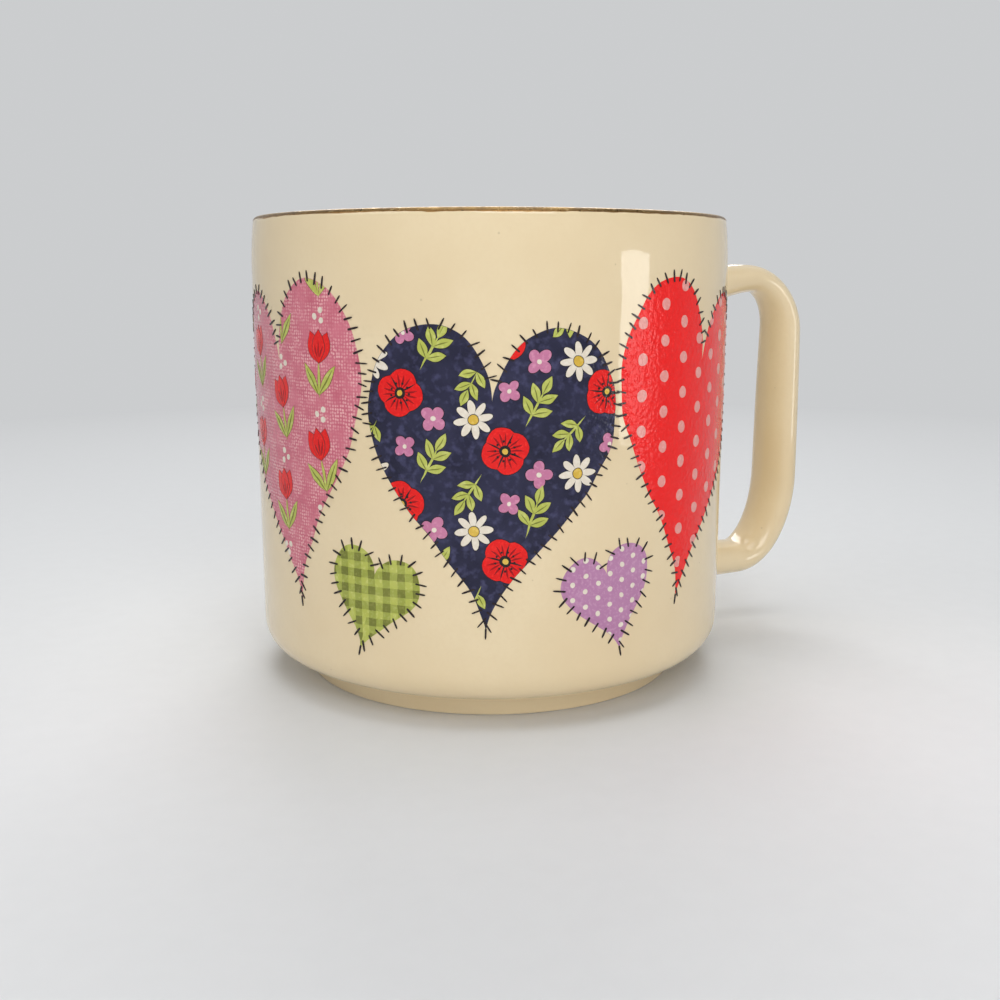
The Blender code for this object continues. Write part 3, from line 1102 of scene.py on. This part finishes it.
def make_inks():
    return {
        "rose": woven_ink("rose_ink", (0.57, 0.125, 0.185), (0.66, 0.19, 0.25), (0.84, 0.47, 0.47), 0.00052),
        "navy": ink("navy_ink", (0.013, 0.013, 0.034), (0.052, 0.052, 0.118), 0.0012),
        "scarlet": ink("scarlet_ink", (0.88, 0.006, 0.005), (0.94, 0.012, 0.010), 0.0006, 0.55),
        "red": ink("red_ink", (0.74, 0.007, 0.008), (0.88, 0.022, 0.016), 0.0004, 0.50),
        "crimson": ink("crimson_ink", (0.26, 0.004, 0.006), (0.36, 0.008, 0.010)),
        "lime": ink("lime_ink", (0.45, 0.49, 0.085), (0.60, 0.62, 0.19), 0.0008),
        "lilac": ink("lilac_ink", (0.52, 0.165, 0.30), (0.66, 0.28, 0.43), 0.0006),
        "mauve": ink("mauve_ink", (0.45, 0.20, 0.37), (0.56, 0.30, 0.47)),
        "white": ink("white_ink", (0.76, 0.68, 0.56), (0.84, 0.78, 0.68), 0.0006),
        "blush": ink("blush_ink", (0.80, 0.30, 0.27), (0.85, 0.42, 0.38)),
        "gold": ink("yellow_ink", (0.66, 0.42, 0.05), (0.80, 0.58, 0.14)),
        "moss": ink("moss_ink", (0.17, 0.19, 0.030), (0.26, 0.27, 0.06)),
        "moss_pale": ink("pale_moss_ink", (0.33, 0.37, 0.06), (0.43, 0.46, 0.12)),
        "line": ink("line_ink", (0.012, 0.009, 0.011), (0.030, 0.022, 0.024)),
        "maroon": ink("maroon_ink", (0.14, 0.020, 0.022), (0.22, 0.045, 0.040)),
        "thread": ink("thread_ink", (0.018, 0.011, 0.012), (0.050, 0.034, 0.034), 0.0004),
    }


def add_transfers():
    inks = make_inks()
    rows = (
        ("rose_heart", SIDE_HEART, 7, -SIDE_SPACING, SIDE_MIDDLE, "rose", tulip_print),
        ("navy_heart", FRONT_HEART, -2, 0.0, FRONT_MIDDLE, "navy", meadow_print),
        ("red_heart", SIDE_HEART, -9, SIDE_SPACING, SIDE_MIDDLE, "scarlet", polka_print),
        ("lime_heart", SMALL_HEART, -14, -SMALL_SPACING, SMALL_MIDDLE, "lime", gingham_print),
        ("lilac_heart", SMALL_HEART, 12, SMALL_SPACING, SMALL_MIDDLE, "mauve", pin_dot_print),
    )
    for seed, (name, size, tilt, along, height, ground, artwork) in enumerate(rows):
        add_transfer(name, heart(size, tilt, complex(along, height)), ground, artwork, seed, inks)


# Stage, light and camera


def stage_material(name):
    """A plain pale studio surface, which looks evenly lit away from the mug, directly or as a reflection."""
    paper = Finish(name, Roughness=0.9, Specular_IOR_Level=0.0)
    grain = paper.level(paper.noise(0.004, 3.0), 0.3, 0.7)
    paper.colour(paper.blend(grain, tuple(value * STAGE_GRAIN for value in STAGE_COLOUR), STAGE_COLOUR))
    path = paper.add("ShaderNodeLightPath")
    rays = ("Is Camera Ray", "Is Glossy Ray", "Is Transmission Ray")
    seen = paper.highest([path.outputs[ray] for ray in rays])
    far = paper.level(paper.distance(), *STAGE_FADE)
    glow = paper.add("ShaderNodeEmission")
    glow.inputs["Color"].default_value = (*STAGE_GLOW, 1.0)
    mix = paper.add("ShaderNodeMixShader")
    paper.join(paper.times(seen, far), mix.inputs["Fac"])
    paper.join(paper.shader.outputs["BSDF"], mix.inputs[1])
    paper.join(glow.outputs["Emission"], mix.inputs[2])
    paper.join(mix.outputs["Shader"], paper.tree.nodes["Material Output"].inputs["Surface"])
    return paper.material


def add_stage():
    """A floor that sweeps up into a backdrop all round, as a bowl seen from inside."""
    floor_end = STAGE_FLOOR[-1]
    profile = [(radius, 0.0) for radius in STAGE_FLOOR]
    profile += [
        (floor_end + STAGE_BEND * math.sin(angle), STAGE_BEND * (1 - math.cos(angle)))
        for angle in (math.pi / 2 * step / STAGE_STEPS for step in range(1, STAGE_STEPS + 1))
    ]
    profile += [(floor_end + STAGE_BEND, STAGE_WALL)]
    shape = bmesh.new()
    rows = [[shape.verts.new(point) for point in ring(*place)] for place in profile]
    shape.faces.new(rows[0])
    skin(shape, rows)
    mesh = bpy.data.meshes.new("studio_floor")
    shape.to_mesh(mesh)
    shape.free()
    mesh.shade_smooth()
    mesh.materials.append(stage_material("studio_paper"))
    made = bpy.data.objects.new("studio_floor", mesh)
    bpy.context.scene.collection.objects.link(made)
    made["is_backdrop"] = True


def add_softbox(name, azimuth, elevation, distance, size, strength, aim):
    """A soft lamp, turned right from the camera by azimuth. A strength of 1 looks white."""
    lamp = bpy.data.lights.new(name, "AREA")
    lamp.shape = "RECTANGLE"
    lamp.size, lamp.size_y = size
    lamp.energy = strength * math.pi * size[0] * size[1]
    made = bpy.data.objects.new(name, lamp)
    made.visible_camera = False
    bpy.context.scene.collection.objects.link(made)
    turn = math.radians(azimuth)
    rise = math.radians(elevation)
    away = Vector((math.sin(turn) * math.cos(rise), -math.cos(turn) * math.cos(rise), math.sin(rise)))
    target = Vector((0, 0, aim))
    stand = Matrix.Translation(target + away * distance)
    made.matrix_world = PHOTO_FRAME @ stand @ away.to_track_quat("Z", "Y").to_matrix().to_4x4()
    return made


def add_light():
    """Soft lamps all round. The low one lights the foot, and the window is only seen as a reflection."""
    add_softbox(*KEY)
    low = add_softbox(*LOW)
    low.visible_glossy = False
    add_softbox(*FILL_LIGHT)
    add_softbox(*BACK)
    add_softbox(*TOP)
    window = add_softbox(*WINDOW)
    window.visible_diffuse = False
    world = bpy.data.worlds.new("studio_world")
    world.use_nodes = True
    bpy.context.scene.world = world
    background = world.node_tree.nodes["Background"]
    background.inputs["Color"].default_value = (*WORLD_COLOUR, 1.0)
    background.inputs["Strength"].default_value = WORLD_STRENGTH


def add_camera():
    lens = bpy.data.cameras.new("photo_camera")
    lens.sensor_width = SENSOR
    lens.lens = SENSOR * FOCAL_PIXELS / FRAME_PIXELS
    lens.clip_start = CAMERA_NEAR
    made = bpy.data.objects.new("photo_camera", lens)
    bpy.context.scene.collection.objects.link(made)
    forward = Vector(
        (
            math.sin(CAMERA_YAW) * math.cos(CAMERA_PITCH),
            math.cos(CAMERA_YAW) * math.cos(CAMERA_PITCH),
            -math.sin(CAMERA_PITCH),
        )
    )
    aimed = forward.to_track_quat("-Z", "Y").to_matrix().to_4x4()
    stand = Matrix.Translation((0, -CAMERA_DISTANCE, CAMERA_HEIGHT))
    made.matrix_world = PHOTO_FRAME @ stand @ aimed
    bpy.context.scene.camera = made


def write_sizes():
    """Gathers the CAD model's box and the visual model's box as plain lists."""
    boxes = {"cad": CAD_BOX, "visual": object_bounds()}
    plain = {name: [list(map(float, corner)) for corner in box] for name, box in boxes.items()}


bpy.context.scene.view_settings.view_transform = "Standard"
add_camera()
add_light()
add_stage()
add_body()
add_gilding()
add_handle()
add_fillets()
add_transfers()
write_sizes()
